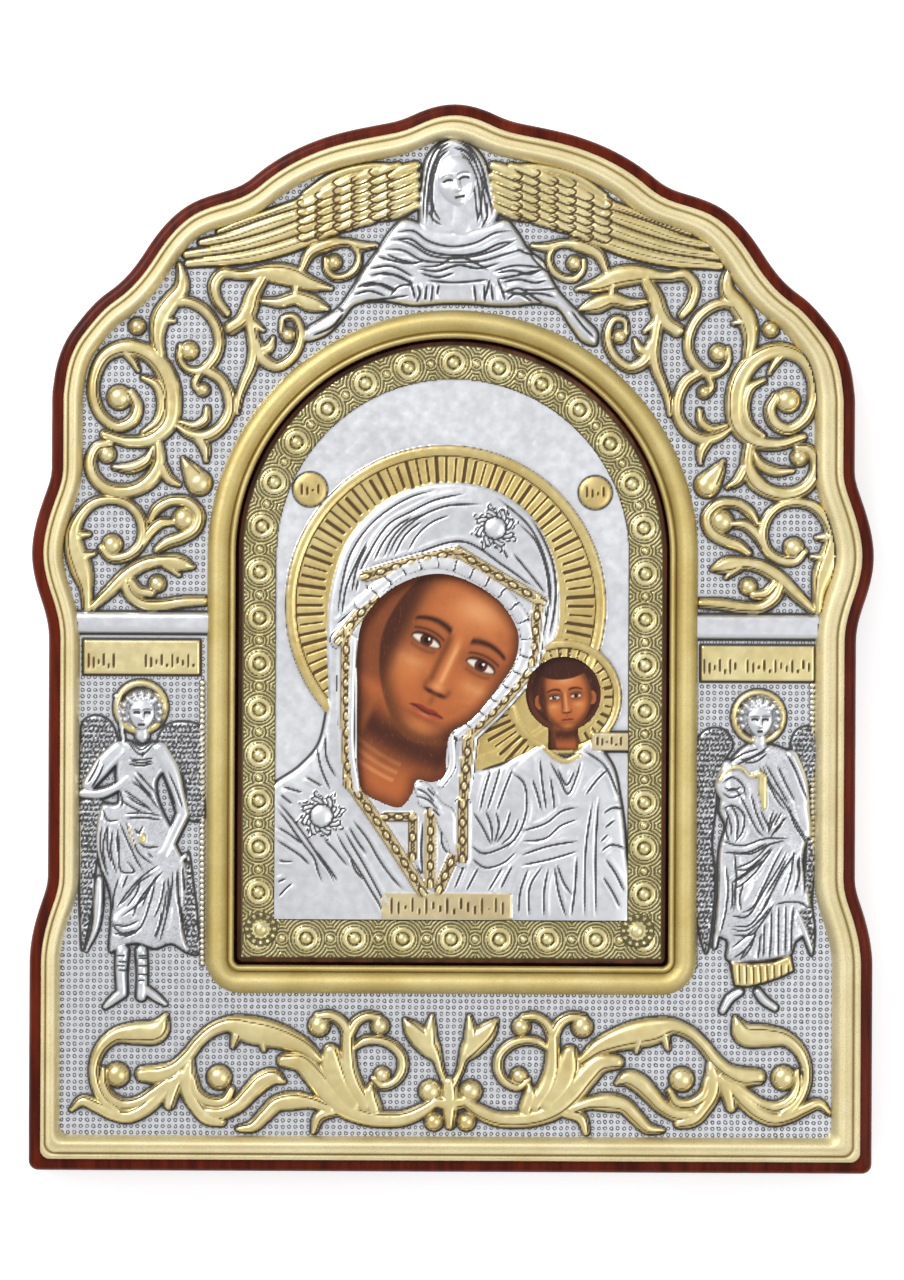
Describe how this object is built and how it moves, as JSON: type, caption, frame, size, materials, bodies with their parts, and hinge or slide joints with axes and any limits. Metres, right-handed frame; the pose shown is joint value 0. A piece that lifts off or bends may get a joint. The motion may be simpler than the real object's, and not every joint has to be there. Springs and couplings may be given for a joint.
{
  "type": "icon panel",
  "caption": "Scalloped wooden icon panel with a pressed part-gilt silver cover and an arched inner icon let into its front.",
  "frame": {"origin": "middle of the outline's width and height, on the back face of the board", "axes": "+X across the front, +Y from the foot to the crest, +Z out of the front face; the panel lies on its back"},
  "size_m": [0.21, 0.266, 0.0204],
  "materials": {
    "dark_wood": "dark red-brown lacquer, semi-gloss",
    "gilt_sheet": "pressed silver sheet with pale champagne gilding, dark oxide in the recesses",
    "painted_wood": "picture painted in warm browns on dark lacquered wood",
    "silver_sheet": "satin silver sheet, pressed and part gilt"
  },
  "bodies": {
    "root": {"back_board": "dark_wood", "frame_cover": "gilt_sheet", "icon_board": "painted_wood", "icon_cover": "silver_sheet"}
  },
  "joints": []
}
